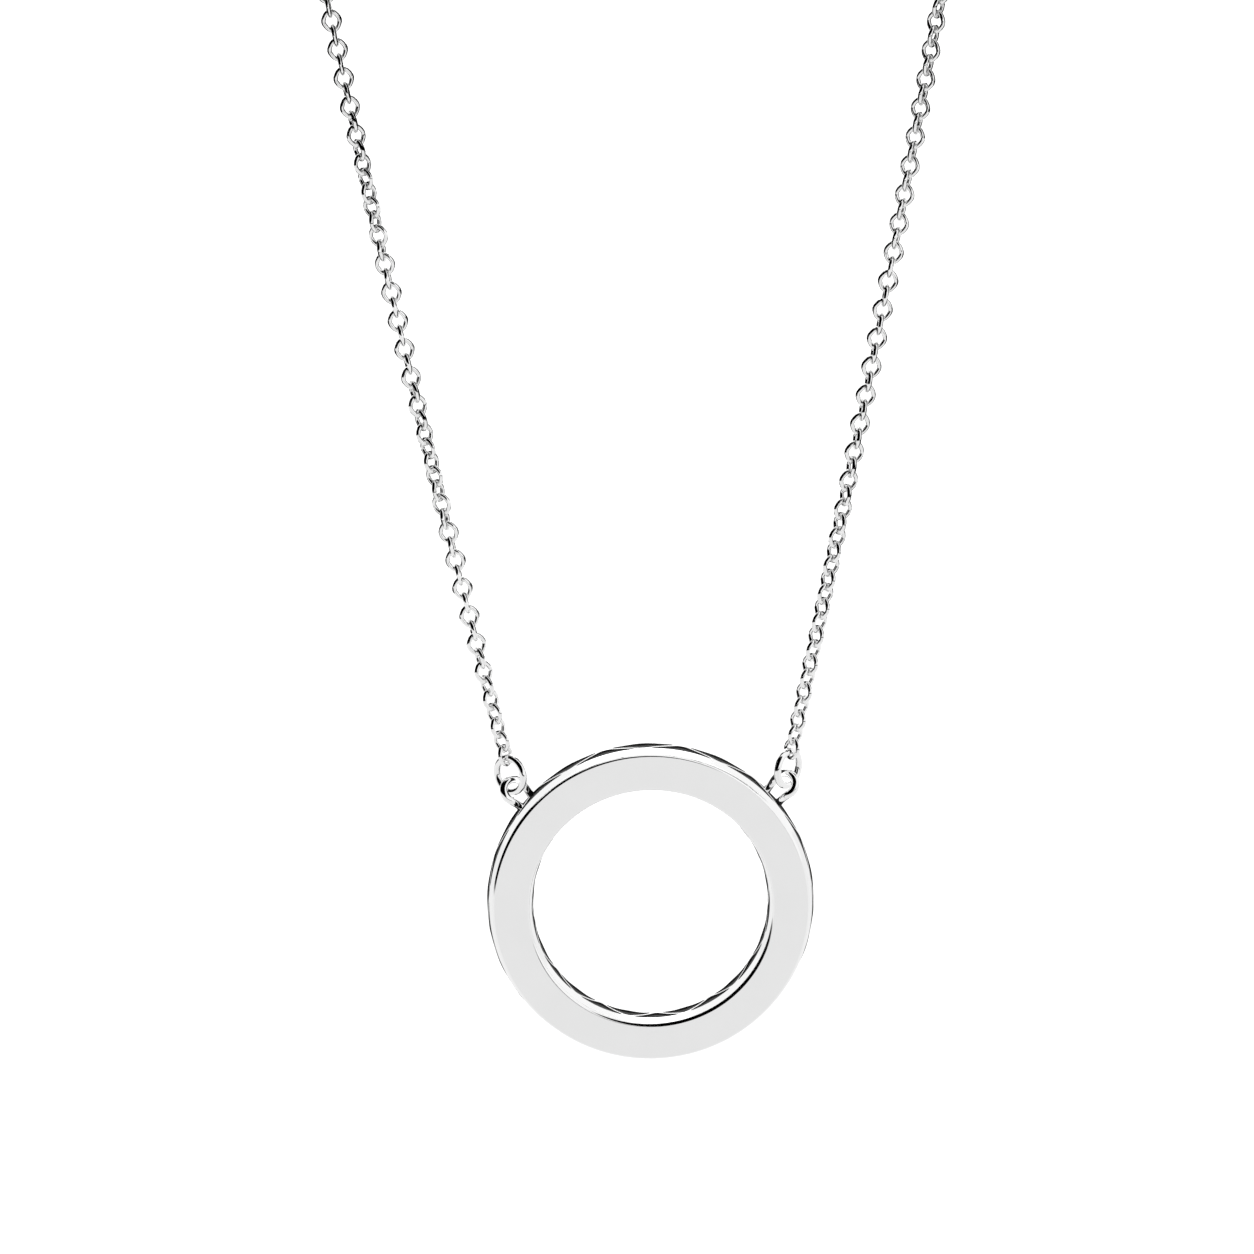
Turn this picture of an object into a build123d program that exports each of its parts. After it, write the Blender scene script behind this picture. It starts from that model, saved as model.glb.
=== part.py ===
"""Circle necklace: an open ring hung by two wire lugs and two jump rings from a loop of cable chain.

Millimetres, +Z up. The loop lies in the XZ plane with its face toward -Y. The origin is under the
middle of the clasp, where the top of the loop rests on what holds it, and the ring hangs below.
"""
from build123d import *
import os
from math import cos, radians, sin, tan
from typing import NamedTuple


class Corner(NamedTuple):
    """A corner of the chain's route."""

    out: float  # from the middle, as a share of the loop's half width
    up: float  # above the ring's centre, as a share of the loop's height


class Turn(NamedTuple):
    """How far the even links of a chain are turned about it."""

    along: float  # share of the linked stretch, from the jump ring up
    angle: float  # degrees from the loop's plane, away from the viewer


# Open ring: a flared band on a scalloped back rim
RING_OUTER_RADIUS = 9.0
RING_INNER_RADIUS = 6.93
RING_DEPTH = 1.5
OUTER_FLARE = 0.2
INNER_FLARE = 0.23
FACE_EDGE_RADIUS = 0.12
RIM_DEPTH = 0.35
LOBE_COUNT = 26
LOBE_RISE = 0.12

# Wire lugs, one at each side of the ring
LUG_ANGLE = 41.5
LUG_REACH = 2.1
LUG_WIRE = 0.44
LUG_HALF_WIDTH = 0.58
LUG_TURN = 30.0
LUG_ROOT = 0.2

# Jump rings between the lugs and the chains
JUMP_RING_DIAMETER = 2.3
JUMP_RING_WIRE = 0.40
JUMP_RING_PLAY = 0.2
LEFT_JUMP_RING_TURN = -43.0
RIGHT_JUMP_RING_TURN = 56.0

# Chain links
LINK_LENGTH = 1.48
LINK_WIDTH = 1.2
LINK_WIRE = 0.27
LINK_COUNT = 57

# Loop: how wide and tall it hangs, and how far the chains lie behind the ring's balance
LOOP_HALF_WIDTH = 37.2
LOOP_HEIGHT = 199.4
CHAIN_SETBACK = 0.4

# Hidden stretch of the chains, and the clasp
BACK_DIAMETER = 1.26
CLASP_DIAMETER = 2.4
CLASP_LENGTH = 8.0
CLASP_END_RADIUS = 0.4
EYE_DIAMETER = 1.8
EYE_WIRE = 0.44
EYE_BURY = 0.3

# Clearances
LINK_GAP = 0.11
JUMP_RING_GAP = 0.08
EYE_GAP = 0.12
BACK_GAP = 0.15

# Corners of a chain's route from its foot up to the clasp
CHAIN_ROUTE = [
    Corner(out=0.362, up=0.165),
    Corner(out=0.608, up=0.397),
    Corner(out=0.833, up=0.622),
    Corner(out=0.957, up=0.752),
    Corner(out=1.000, up=0.842),
    Corner(out=0.949, up=0.903),
    Corner(out=0.817, up=0.948),
    Corner(out=0.634, up=0.979),
    Corner(out=0.422, up=0.996),
    Corner(out=0.285, up=1.000),
]
FILLET_SHARE = 0.45

LEFT_TURNS = [
    Turn(along=0.00, angle=-41),
    Turn(along=0.06, angle=-45),
    Turn(along=0.22, angle=-90),
    Turn(along=0.38, angle=-135),
    Turn(along=0.57, angle=-180),
    Turn(along=0.72, angle=-225),
    Turn(along=0.93, angle=-270),
    Turn(along=1.00, angle=-275),
]
RIGHT_TURNS = [
    Turn(along=0.00, angle=45),
    Turn(along=0.12, angle=45),
    Turn(along=0.25, angle=38),
    Turn(along=0.36, angle=28),
    Turn(along=0.47, angle=17),
    Turn(along=0.58, angle=0),
    Turn(along=0.65, angle=-18),
    Turn(along=0.82, angle=-22),
    Turn(along=0.91, angle=-30),
    Turn(along=1.00, angle=-43),
]

RIGHT, LEFT = 1, -1

os.makedirs("parts", exist_ok=True)

clasp_axis_height = CLASP_DIAMETER / 2
ring_height = clasp_axis_height - LOOP_HEIGHT
away = Vector(0, 1, 0)


def save(part, name):
    """Label a finished piece and write it."""
    part.label = name
    export_step(part, f"parts/{name}.step")


def turned_plane(centre, along, angle):
    """Plane with its z along a wire or strand and its x turned by an angle from the loop's plane."""
    level = Vector(along.Z, 0, -along.X).normalized()
    across = along.cross(level).normalized()
    x_dir = level * cos(radians(angle)) + across * sin(radians(angle))
    return Plane(centre, x_dir=x_dir, z_dir=along)


def mirrored(vector, side):
    """The vector as it stands on one side of the loop."""
    return Vector(side * vector.X, vector.Y, vector.Z)


# Wire lug on the right: a U of wire, turned so that its lower limb comes toward the viewer
lug_out = Vector(cos(radians(LUG_ANGLE)), 0, sin(radians(LUG_ANGLE)))
lug_rise = Vector(-sin(radians(LUG_ANGLE)), 0, cos(radians(LUG_ANGLE)))
lug_across = lug_rise * cos(radians(LUG_TURN)) + away * sin(radians(LUG_TURN))
lug_bend_radius = RING_OUTER_RADIUS + LUG_REACH - LUG_WIRE / 2 - LUG_HALF_WIDTH
ring_centre = Vector(0, -CHAIN_SETBACK, ring_height)
lug_bend = ring_centre + lug_out * lug_bend_radius
lug_leg = lug_bend_radius - (RING_OUTER_RADIUS - LUG_ROOT)

with BuildPart() as lug:
    with BuildLine(Plane(lug_bend, x_dir=lug_across, z_dir=lug_across.cross(lug_out))) as lug_path:
        Line((-LUG_HALF_WIDTH, -lug_leg), (-LUG_HALF_WIDTH, 0))
        ThreePointArc((-LUG_HALF_WIDTH, 0), (0, LUG_HALF_WIDTH), (LUG_HALF_WIDTH, 0))
        Line((LUG_HALF_WIDTH, 0), (LUG_HALF_WIDTH, -lug_leg))
    with BuildSketch(Plane(lug_path.wire() ^ 0)):
        Circle(LUG_WIRE / 2)
    sweep()

# Open ring, with its face at y = 0 and its rim behind
wall_depth = RING_DEPTH - RIM_DEPTH
rim_outer_radius = RING_OUTER_RADIUS + OUTER_FLARE
rim_inner_radius = RING_INNER_RADIUS - INNER_FLARE
lobe_radius = (rim_outer_radius - rim_inner_radius) / 2 + LOBE_RISE

with BuildPart() as ring:
    with BuildSketch(Plane.XY) as band_section:
        with BuildLine():
            Polyline(
                (RING_INNER_RADIUS, 0),
                (RING_OUTER_RADIUS, 0),
                (rim_outer_radius, wall_depth),
                (rim_inner_radius, wall_depth),
                close=True,
            )
        make_face()
        fillet(band_section.vertices().group_by(Axis.Y)[0], FACE_EDGE_RADIUS)
    revolve(axis=Axis.Y)
    with BuildSketch(Plane.XZ.offset(-wall_depth)):
        Circle(rim_outer_radius)
        Circle(rim_inner_radius, mode=Mode.SUBTRACT)
        with PolarLocations((rim_outer_radius + rim_inner_radius) / 2, LOBE_COUNT, start_angle=90):
            Circle(lobe_radius)
    extrude(amount=-RIM_DEPTH)

balance_depth = ring.part.center(CenterOf.MASS).Y

with BuildPart() as pendant_ring:
    with Locations(ring_centre - away * balance_depth):
        add(ring.part)
    add(lug.part)
    mirror(lug.part, about=Plane.YZ)
save(pendant_ring.part, "pendant_ring")

# Jump rings: each leans with its chain and holds the lug's bend with a little play
route_corners = [
    Vector(corner.out * LOOP_HALF_WIDTH, 0, ring_height + corner.up * LOOP_HEIGHT) for corner in CHAIN_ROUTE
]
jump_ring_radius = (JUMP_RING_DIAMETER - JUMP_RING_WIRE) / 2
jump_ring_seat = lug_bend + Vector(0, 0, LUG_HALF_WIDTH - (LUG_WIRE + JUMP_RING_WIRE) / 2 - JUMP_RING_PLAY)
first_corner = route_corners[0]
chain_rise = Vector(first_corner.X - jump_ring_seat.X, 0, first_corner.Z - jump_ring_seat.Z).normalized()
lean_back = CHAIN_SETBACK / (2 * jump_ring_radius)
jump_ring_up = chain_rise * (1 - lean_back**2) ** 0.5 + away * lean_back


def jump_ring_at(side, turn):
    """A jump ring on one side, turned about the line from its lug to its chain."""
    up = mirrored(jump_ring_up, side)
    centre = mirrored(jump_ring_seat, side) + up * jump_ring_radius
    upright = turned_plane(centre, up, turn)
    with BuildPart(Plane(centre, x_dir=up, z_dir=upright.y_dir)) as jump_ring:
        Torus(jump_ring_radius, JUMP_RING_WIRE / 2)
    return jump_ring.part


save(jump_ring_at(LEFT, LEFT_JUMP_RING_TURN), "jump_ring_left")
save(jump_ring_at(RIGHT, RIGHT_JUMP_RING_TURN), "jump_ring_right")

# Clasp: a plain closed barrel with a soldered eye at each end
eye_radius = (EYE_DIAMETER - EYE_WIRE) / 2
eye_out = CLASP_LENGTH / 2 + EYE_DIAMETER / 2 - EYE_BURY

with BuildPart() as clasp:
    with BuildSketch(Plane.YZ.offset(-CLASP_LENGTH / 2)):
        with Locations((0, clasp_axis_height)):
            Circle(CLASP_DIAMETER / 2)
    extrude(amount=CLASP_LENGTH)
    fillet(clasp.edges().filter_by(GeomType.CIRCLE), CLASP_END_RADIUS)
    with Locations((-eye_out, 0, clasp_axis_height), (eye_out, 0, clasp_axis_height)):
        Torus(eye_radius, EYE_WIRE / 2, rotation=(90, 0, 0))
save(clasp.part, "clasp")

# One link, upright and centred: its width along x and its length along z
link_end_radius = (LINK_WIDTH - LINK_WIRE) / 2
link_reach = (LINK_LENGTH - LINK_WIRE) / 2
link_straight = link_reach - link_end_radius
link_pitch = 2 * link_reach - LINK_WIRE - LINK_GAP

with BuildPart() as link:
    with BuildLine(Plane.XZ) as link_path:
        Line((-link_end_radius, -link_straight), (-link_end_radius, link_straight))
        ThreePointArc((-link_end_radius, link_straight), (0, link_reach), (link_end_radius, link_straight))
        Line((link_end_radius, link_straight), (link_end_radius, -link_straight))
        ThreePointArc((link_end_radius, -link_straight), (0, -link_reach), (-link_end_radius, -link_straight))
    with BuildSketch(Plane(link_path.wire() ^ 0)):
        Circle(LINK_WIRE / 2)
    sweep()

# Routes of the chains, from each jump ring's top wire to the clasp's eye
chain_foot = jump_ring_seat + jump_ring_up * (2 * jump_ring_radius)
chain_end = Vector(eye_out + EYE_DIAMETER / 2 + BACK_GAP, 0, clasp_axis_height)
eye_link_out = eye_out + eye_radius - (EYE_WIRE + LINK_WIRE) / 2 - EYE_GAP + link_reach
first_link_along = link_reach - (LINK_WIRE + JUMP_RING_WIRE) / 2 - JUMP_RING_GAP


def fillet_radii(points):
    """The widest tangent arc that the two runs at each inner corner leave room for."""
    radii = []
    for before, corner, after in zip(points, points[1:], points[2:]):
        half_turn = (corner - before).get_angle(after - corner) / 2
        shorter_run = min((corner - before).length, (after - corner).length)
        radii.append(FILLET_SHARE * shorter_run / tan(radians(half_turn)))
    return radii


def chain_route(side):
    """The whole centre line of one side's chain."""
    points = [mirrored(point, side) for point in [chain_foot, *route_corners, chain_end]]
    with BuildLine() as route:
        FilletPolyline(points, radius=fillet_radii(points))
    return route.wire()


def turn_at(turns, along):
    """Angle of the even links at a share of the linked stretch, read between two rows."""
    for lower, upper in zip(turns, turns[1:]):
        if along <= upper.along:
            share = (along - lower.along) / (upper.along - lower.along)
            return lower.angle + share * (upper.angle - lower.angle)
    return turns[-1].angle


def link_plane(route, turns, index):
    """Plane of one link, counted from the jump ring up: each link is square to the one before."""
    along = first_link_along + index * link_pitch
    angle = turn_at(turns, index / LINK_COUNT) + (90 if index % 2 == 0 else 0)
    centre = route.position_at(along, position_mode=PositionMode.LENGTH)
    return turned_plane(centre, route.tangent_at(along, position_mode=PositionMode.LENGTH), angle)


def linked_chain(route, turns):
    """The interlocking links of one side, from the jump ring up."""
    places = [link_plane(route, turns, index).location for index in range(LINK_COUNT)]
    with BuildPart() as chain:
        with Locations(*places):
            add(link.part)
    return chain.part


def hidden_chain(side, route, turns):
    """The rest of one side up to the clasp: a tube as wide as the links, with a link at each end."""
    foot_link = link_plane(route, turns, LINK_COUNT)
    start = foot_link.origin + foot_link.z_dir * (LINK_LENGTH / 2 - link_pitch + BACK_GAP)
    corners = [corner for corner in route_corners if corner.Z > start.Z + LINK_LENGTH]
    points = [start] + [mirrored(point, side) for point in [*corners, chain_end]]
    radii = fillet_radii(points)
    eye_link = Plane((side * eye_link_out, 0, clasp_axis_height), x_dir=away, z_dir=(1, 0, 0))
    with BuildPart() as back:
        with BuildLine() as path:
            FilletPolyline(points, radius=radii)
        with BuildSketch(Plane(path.wire() ^ 0)) as section:
            Circle(BACK_DIAMETER / 2)
        sweep()
        tube_volume = back.part.volume
        tube_length = path.wire().length
        with Locations(foot_link.location, eye_link.location):
            add(link.part)
    print("hidden stretch", round(tube_length, 1), "long, radii", [round(radius) for radius in radii])
    section_by_length = section.sketch.area * tube_length
    print("tube volume", round(tube_volume, 2), "section by length", round(section_by_length, 2))
    return back.part


for side, turns, name in ((LEFT, LEFT_TURNS, "chain_left"), (RIGHT, RIGHT_TURNS, "chain_right")):
    route = chain_route(side)
    save(linked_chain(route, turns), name)
    save(hidden_chain(side, route, turns), f"{name}_back")
    print(name, "length", round(route.length, 1), "links", round(route.length / link_pitch))

print("pendant swing axis at y", round(jump_ring_seat.Y, 3), "z", round(jump_ring_seat.Z, 3))
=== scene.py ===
"""Circle necklace: a polished silver open ring hung by wire lugs and jump rings from cable chain.

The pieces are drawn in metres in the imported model's frame: +Z up, the ring's face toward -Y, and
the origin under the middle of the clasp. Each piece stands for the solids of the same place.
"""
import logging
from dataclasses import dataclass, field
from enum import Enum
from math import acos, asin, cos, degrees, exp, hypot, pi, radians, sin
from typing import Any, Callable, NamedTuple

import bmesh
import bpy
from mathutils import Matrix, Vector


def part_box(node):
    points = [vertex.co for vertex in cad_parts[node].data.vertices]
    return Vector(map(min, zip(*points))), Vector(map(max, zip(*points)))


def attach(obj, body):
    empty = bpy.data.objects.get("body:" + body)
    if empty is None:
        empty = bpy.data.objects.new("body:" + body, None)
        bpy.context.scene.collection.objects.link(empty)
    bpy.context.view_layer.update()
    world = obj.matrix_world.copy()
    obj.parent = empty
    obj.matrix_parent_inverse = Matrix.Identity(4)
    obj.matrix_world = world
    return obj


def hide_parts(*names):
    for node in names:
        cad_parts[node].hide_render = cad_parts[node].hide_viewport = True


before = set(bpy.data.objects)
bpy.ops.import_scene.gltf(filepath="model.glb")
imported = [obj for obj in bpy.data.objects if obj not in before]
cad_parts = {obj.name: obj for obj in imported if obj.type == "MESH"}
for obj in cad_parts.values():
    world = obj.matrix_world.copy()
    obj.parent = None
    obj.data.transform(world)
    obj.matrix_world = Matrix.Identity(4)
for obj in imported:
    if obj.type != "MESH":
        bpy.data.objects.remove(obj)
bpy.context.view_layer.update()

MM = 0.001
FULL_TURN = 2 * pi
STRANDS_BODY = "strands"
PENDANT_BODY = "pendant"

log = logging.getLogger("circle_necklace")

Point = tuple[float, float, float]
Quad = tuple[int, ...]


class Side(Enum):
    """One side of the loop, as the viewer sees it."""

    LEFT = -1
    RIGHT = 1

    @property
    def word(self) -> str:
        """The side's name in lower case, as the solids use it."""
        return self.name.lower()

    def mirrored(self, point: Vector) -> Vector:
        """The right-hand point as it stands on this side."""
        return Vector((self.value * point.x, point.y, point.z))


class Turn(NamedTuple):
    """How far the even links of a chain are turned about it."""

    along: float  # share of the run of links, from its foot up
    angle: float  # degrees from the loop's plane, away from the viewer


# ---------------------------------------------------------------- nodes

class Term:
    """A node's output that can be used in arithmetic, each operation adding a Math node."""

    def __init__(self, tree: "NodeTree", socket: bpy.types.NodeSocket) -> None:
        """Wrap a socket.

        Args:
            tree: the tree that the socket is in.
            socket: an output socket.
        """
        self.tree = tree
        self.socket = socket

    def _math(self, operation: str, first: Any, second: Any = 0.0) -> "Term":
        """Add a Math node of an operation on two values or terms."""
        return self.tree.add("ShaderNodeMath", {"operation": operation}, {0: first, 1: second})

    def __add__(self, other: Any) -> "Term":
        """The sum."""
        return self._math("ADD", self, other)

    def __radd__(self, other: Any) -> "Term":
        """The sum, with the number first."""
        return self._math("ADD", other, self)

    def __sub__(self, other: Any) -> "Term":
        """The difference."""
        return self._math("SUBTRACT", self, other)

    def __rsub__(self, other: Any) -> "Term":
        """The difference from a number."""
        return self._math("SUBTRACT", other, self)

    def __mul__(self, other: Any) -> "Term":
        """The product."""
        return self._math("MULTIPLY", self, other)

    def __rmul__(self, other: Any) -> "Term":
        """The product, with the number first."""
        return self._math("MULTIPLY", other, self)

    def __truediv__(self, other: Any) -> "Term":
        """The quotient."""
        return self._math("DIVIDE", self, other)

    def __mod__(self, other: Any) -> "Term":
        """The remainder."""
        return self._math("MODULO", self, other)

    def size(self) -> "Term":
        """The value without its sign."""
        return self._math("ABSOLUTE", self)

    def sign(self) -> "Term":
        """The sign, as -1, 0 or 1."""
        return self._math("SIGN", self)

    def at_least(self, limit: float) -> "Term":
        """The value, or a limit where it is less."""
        return self._math("MAXIMUM", self, limit)

    def pinched(self, power: Any) -> "Term":
        """The size to a power, with its own sign."""
        return self.sign() * self._math("POWER", self.size(), power)

    def sine(self) -> "Term":
        """The sine of an angle in radians."""
        return self._math("SINE", self)

    def cosine(self) -> "Term":
        """The cosine of an angle in radians."""
        return self._math("COSINE", self)


class NodeTree:
    """A shader or geometry tree with one way to add a node."""

    def __init__(self, tree: bpy.types.NodeTree) -> None:
        """Start writing in an empty tree.

        Args:
            tree: the tree to fill.
        """
        self.tree = tree

    def add(
        self,
        kind: str,
        settings: dict[str, Any] | None = None,
        inputs: dict[int | str, Any] | None = None,
        output: int | str = 0,
    ) -> Term:
        """Add a node.

        Args:
            kind: the node's type.
            settings: its properties, set before its sockets.
            inputs: values or terms by the name or place of the input.
            output: the name or place of the output that is wanted.

        Returns:
            The wanted output as a term.
        """
        node = self.tree.nodes.new(kind)
        for name, value in (settings or {}).items():
            setattr(node, name, value)
        for name, value in (inputs or {}).items():
            if isinstance(value, Term):
                self.tree.links.new(value.socket, node.inputs[name])
            else:
                node.inputs[name].default_value = value
        return Term(self, node.outputs[output])

    def mixed(self, share: Term, first: "Term | Point", second: "Term | Point") -> Term:
        """A colour between two colours."""
        ends = [end if isinstance(end, Term) else (*end, 1.0) for end in (first, second)]
        return self.add(
            "ShaderNodeMix", {"data_type": "RGBA"}, {0: share, 6: ends[0], 7: ends[1]}, output=2
        )

    def result(self, kind: str, inputs: dict[int | str, Term]) -> None:
        """Add a node that ends the tree and has no output of its own."""
        node = self.tree.nodes.new(kind)
        for name, term in inputs.items():
            self.tree.links.new(term.socket, node.inputs[name])


# ---------------------------------------------------------------- finishes

@dataclass(frozen=True)
class SilverFinish:
    """Polished silver with faint clouding and fine polishing marks.

    Attributes:
        slot: the record's material slot.
        light: colour where the polish is clearest.
        dull: colour where it is faintly clouded.
        roughness: roughness of the clearest polish.
        clouding: how much rougher the clouded places are.
        cloud_size: size of a cloud in metres.
        mark_size: size of the polishing marks in metres.
        mark_depth: depth of the polishing marks in metres.
    """

    slot: str
    light: Point = (0.95, 0.95, 0.95)
    dull: Point = (0.915, 0.915, 0.915)
    roughness: float = 0.06
    clouding: float = 0.04
    cloud_size: float = 2.6 * MM
    mark_size: float = 0.25 * MM
    mark_depth: float = 0.0006 * MM

    def material(self) -> bpy.types.Material:
        """Build the finish.

        Returns:
            A procedural material on object coordinates.
        """
        material = bpy.data.materials.new(self.slot)
        material.use_nodes = True
        material.node_tree.nodes.clear()
        tree = NodeTree(material.node_tree)
        place = tree.add("ShaderNodeTexCoord", output="Object")
        cloud = tree.add(
            "ShaderNodeTexNoise",
            inputs={"Vector": place, "Scale": 1 / self.cloud_size, "Detail": 3.0, "Roughness": 0.6},
        )
        marks = tree.add(
            "ShaderNodeTexNoise",
            inputs={"Vector": place, "Scale": 1 / self.mark_size, "Detail": 2.0},
        )
        colour = tree.mixed(cloud, self.light, self.dull)
        relief = tree.add(
            "ShaderNodeBump",
            inputs={"Height": marks, "Strength": 1.0, "Distance": self.mark_depth},
        )
        shader = tree.add(
            "ShaderNodeBsdfPrincipled",
            inputs={
                "Base Color": self._colour(tree, colour),
                "Metallic": 1.0,
                "Roughness": self._roughness(tree, self.roughness + self.clouding * cloud),
                "Normal": relief,
            },
        )
        tree.result("ShaderNodeOutputMaterial", {"Surface": shader})
        return material

    def _colour(self, tree: NodeTree, polished: Term) -> Term:
        """Colour of the whole surface, from that of its polished parts."""
        return polished

    def _roughness(self, tree: NodeTree, polished: Term) -> Term:
        """Roughness of the whole surface, from that of its polished parts."""
        return polished


@dataclass(frozen=True)
class RecessedSilver(SilverFinish):
    """Polished silver whose cut recesses are rougher and get painted shade, a near-black colour.

    Attributes:
        recess_shade_attribute: mesh attribute that is 1 on the floor of a recess, where shade is painted.
        recess_colour: near-black colour painted on the floor as shade.
        recess_roughness: how much rougher the floor is.
    """

    recess_shade_attribute: str = "recess"
    # The recess floors are painted near-black as shade.
    recess_colour: Point = (0.010, 0.010, 0.010)
    recess_roughness: float = 0.30

    def _recess(self, tree: NodeTree) -> Term:
        """Share of a recess's floor, where shade is painted and the finish is rougher."""
        return tree.add(
            "ShaderNodeAttribute", {"attribute_name": self.recess_shade_attribute}, output="Fac"
        )

    def _colour(self, tree: NodeTree, polished: Term) -> Term:
        """Colour of the polished parts, with shade painted near-black in the recesses."""
        return tree.mixed(self._recess(tree), polished, self.recess_colour)

    def _roughness(self, tree: NodeTree, polished: Term) -> Term:
        """Roughness of the polished parts and the recesses."""
        return polished + self.recess_roughness * self._recess(tree)


# This finish paints shade into the ring's rim recesses.
RING_FINISH = RecessedSilver("polished_silver", roughness=0.07)
LUG_FINISH = SilverFinish("polished_silver", cloud_size=0.8 * MM, mark_size=0.12 * MM)
JUMP_RING_FINISH = SilverFinish("jump_ring_silver", cloud_size=0.8 * MM, mark_size=0.12 * MM)
CHAIN_FINISH = SilverFinish("chain_silver", cloud_size=0.9 * MM, mark_size=0.12 * MM)
CLASP_FINISH = SilverFinish("clasp_silver", roughness=0.08, cloud_size=1.6 * MM)


# ---------------------------------------------------------------- meshes

def link_object(name: str, data: bpy.types.ID) -> bpy.types.Object:
    """Put a new object in the scene at the origin."""
    obj = bpy.data.objects.new(name, data)
    bpy.context.scene.collection.objects.link(obj)
    return obj


@dataclass
class Shell:
    """Vertices and faces of a piece that is being drawn, in metres."""

    points: list[Vector] = field(default_factory=list)
    faces: list[Quad] = field(default_factory=list)

    def add_rows(self, rows: list[list[Vector]], closed_rows: bool, capped: bool = False) -> None:
        """Join rows of points, each row closed on itself.

        Args:
            rows: rows of equal length.
            closed_rows: whether the last row joins the first.
            capped: whether the first and last rows get a cap.
        """
        start = len(self.points)
        width = len(rows[0])
        for row in rows:
            self.points.extend(row)
        count = len(rows) if closed_rows else len(rows) - 1
        for index in range(count):
            here = start + index * width
            there = start + (index + 1) % len(rows) * width
            for step in range(width):
                across = (step + 1) % width
                self.faces.append((here + step, here + across, there + across, there + step))
        if capped:
            self.faces.append(tuple(start + step for step in reversed(range(width))))
            last = start + (len(rows) - 1) * width
            self.faces.append(tuple(last + step for step in range(width)))

    def object(self, name: str) -> bpy.types.Object:
        """Make the piece's object.

        Args:
            name: the piece's name.

        Returns:
            A smooth mesh object at the origin with its faces outward.
        """
        mesh = bpy.data.meshes.new(name)
        mesh.from_pydata([tuple(point) for point in self.points], [], self.faces)
        work = bmesh.new()
        work.from_mesh(mesh)
        bmesh.ops.recalc_face_normals(work, faces=work.faces)
        for face in work.faces:
            face.smooth = True
        work.to_mesh(mesh)
        work.free()
        return link_object(name, mesh)


def wire_rows(
    path: list[Vector],
    side_ways: list[Vector],
    radii: list[float],
    sides: int,
    closed: bool,
) -> list[list[Vector]]:
    """Points round a wire that follows a path near one plane.

    Args:
        path: the wire's centre line.
        side_ways: the plane's normal at each point.
        radii: the wire's radius at each point.
        sides: points round the wire.
        closed: whether the path closes on itself.

    Returns:
        One closed row of points for each point of the path.
    """
    rows = []
    count = len(path)
    for index, centre in enumerate(path):
        before = path[index - 1] if closed or index > 0 else path[index]
        after = path[(index + 1) % count] if closed or index < count - 1 else path[index]
        along = (after - before).normalized()
        flat = side_ways[index]
        across = along.cross(flat).normalized()
        flat = across.cross(along).normalized()
        rows.append([
            centre + radii[index] * (across * cos(turn) + flat * sin(turn))
            for turn in (FULL_TURN * step / sides for step in range(sides))
        ])
    return rows


def round_wire(
    centre: Vector, level: Vector, upright: Vector, radius: float, wire: float, steps: int, sides: int
) -> list[list[Vector]]:
    """Points of a closed ring of wire.

    Args:
        centre: the ring's centre.
        level: one direction in its plane.
        upright: the other direction in its plane, square to the first.
        radius: radius of the wire's centre line.
        wire: radius of the wire.
        steps: points round the ring.
        sides: points round the wire.

    Returns:
        One closed row of points for each step.
    """
    turns = [FULL_TURN * step / steps for step in range(steps)]
    path = [centre + radius * (level * cos(turn) + upright * sin(turn)) for turn in turns]
    normal = level.cross(upright).normalized()
    return wire_rows(path, [normal] * steps, [wire] * steps, sides, closed=True)


def dress(
    piece: bpy.types.Object, finish: SilverFinish, body: str, *nodes: str
) -> bpy.types.Object:
    """Finish a piece and tie it to the frame.

    Args:
        piece: the piece's object.
        finish: its finish.
        body: the body that it moves with.
        nodes: the solids that it stands for.

    Returns:
        The same object.
    """
    if not piece.data.materials:
        piece.data.materials.append(finish.material())
    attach(piece, body)
    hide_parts(*nodes)
    log.info("%s: %d faces on %s", piece.name, len(piece.data.polygons), body)
    return piece


# ---------------------------------------------------------------- open ring

@dataclass(frozen=True)
class Bevel:
    """A rounded edge between the face and a wall, with a crease at each side.

    Attributes:
        radius: radius of the rounding.
        face_tilt: angle of the rounding at the face, from square to the face's own.
        wall_tilt: its angle at the wall.
    """

    radius: float
    face_tilt: float
    wall_tilt: float

    def points(self, wall_radius: float, outward: int, lean: float, steps: int) -> list[tuple[float, float]]:
        """The rounding from the face to the wall.

        Args:
            wall_radius: radius of the wall where it would meet the face.
            outward: 1 on the outside of the ring and -1 in its hole.
            lean: how far the wall spreads for its depth.
            steps: number of steps.

        Returns:
            Radius and depth of each point.
        """
        deep = self.radius * (sin(self.face_tilt) - sin(self.wall_tilt))
        foot = wall_radius + outward * lean * deep
        points = []
        for step in range(steps + 1):
            tilt = self.face_tilt + (self.wall_tilt - self.face_tilt) * step / steps
            points.append((
                foot - outward * self.radius * (cos(self.wall_tilt) - cos(tilt)),
                self.radius * (sin(self.face_tilt) - sin(tilt)),
            ))
        return points


class RimPlace(NamedTuple):
    """A place across the back rim."""

    share: float  # share of the rim's width, 1 being its rear edge
    recess: float  # share of the recesses' depth
    # The share below marks where shade is painted on the recess floors.
    dark: float  # 1 in a recess and 0 on the metal between


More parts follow.
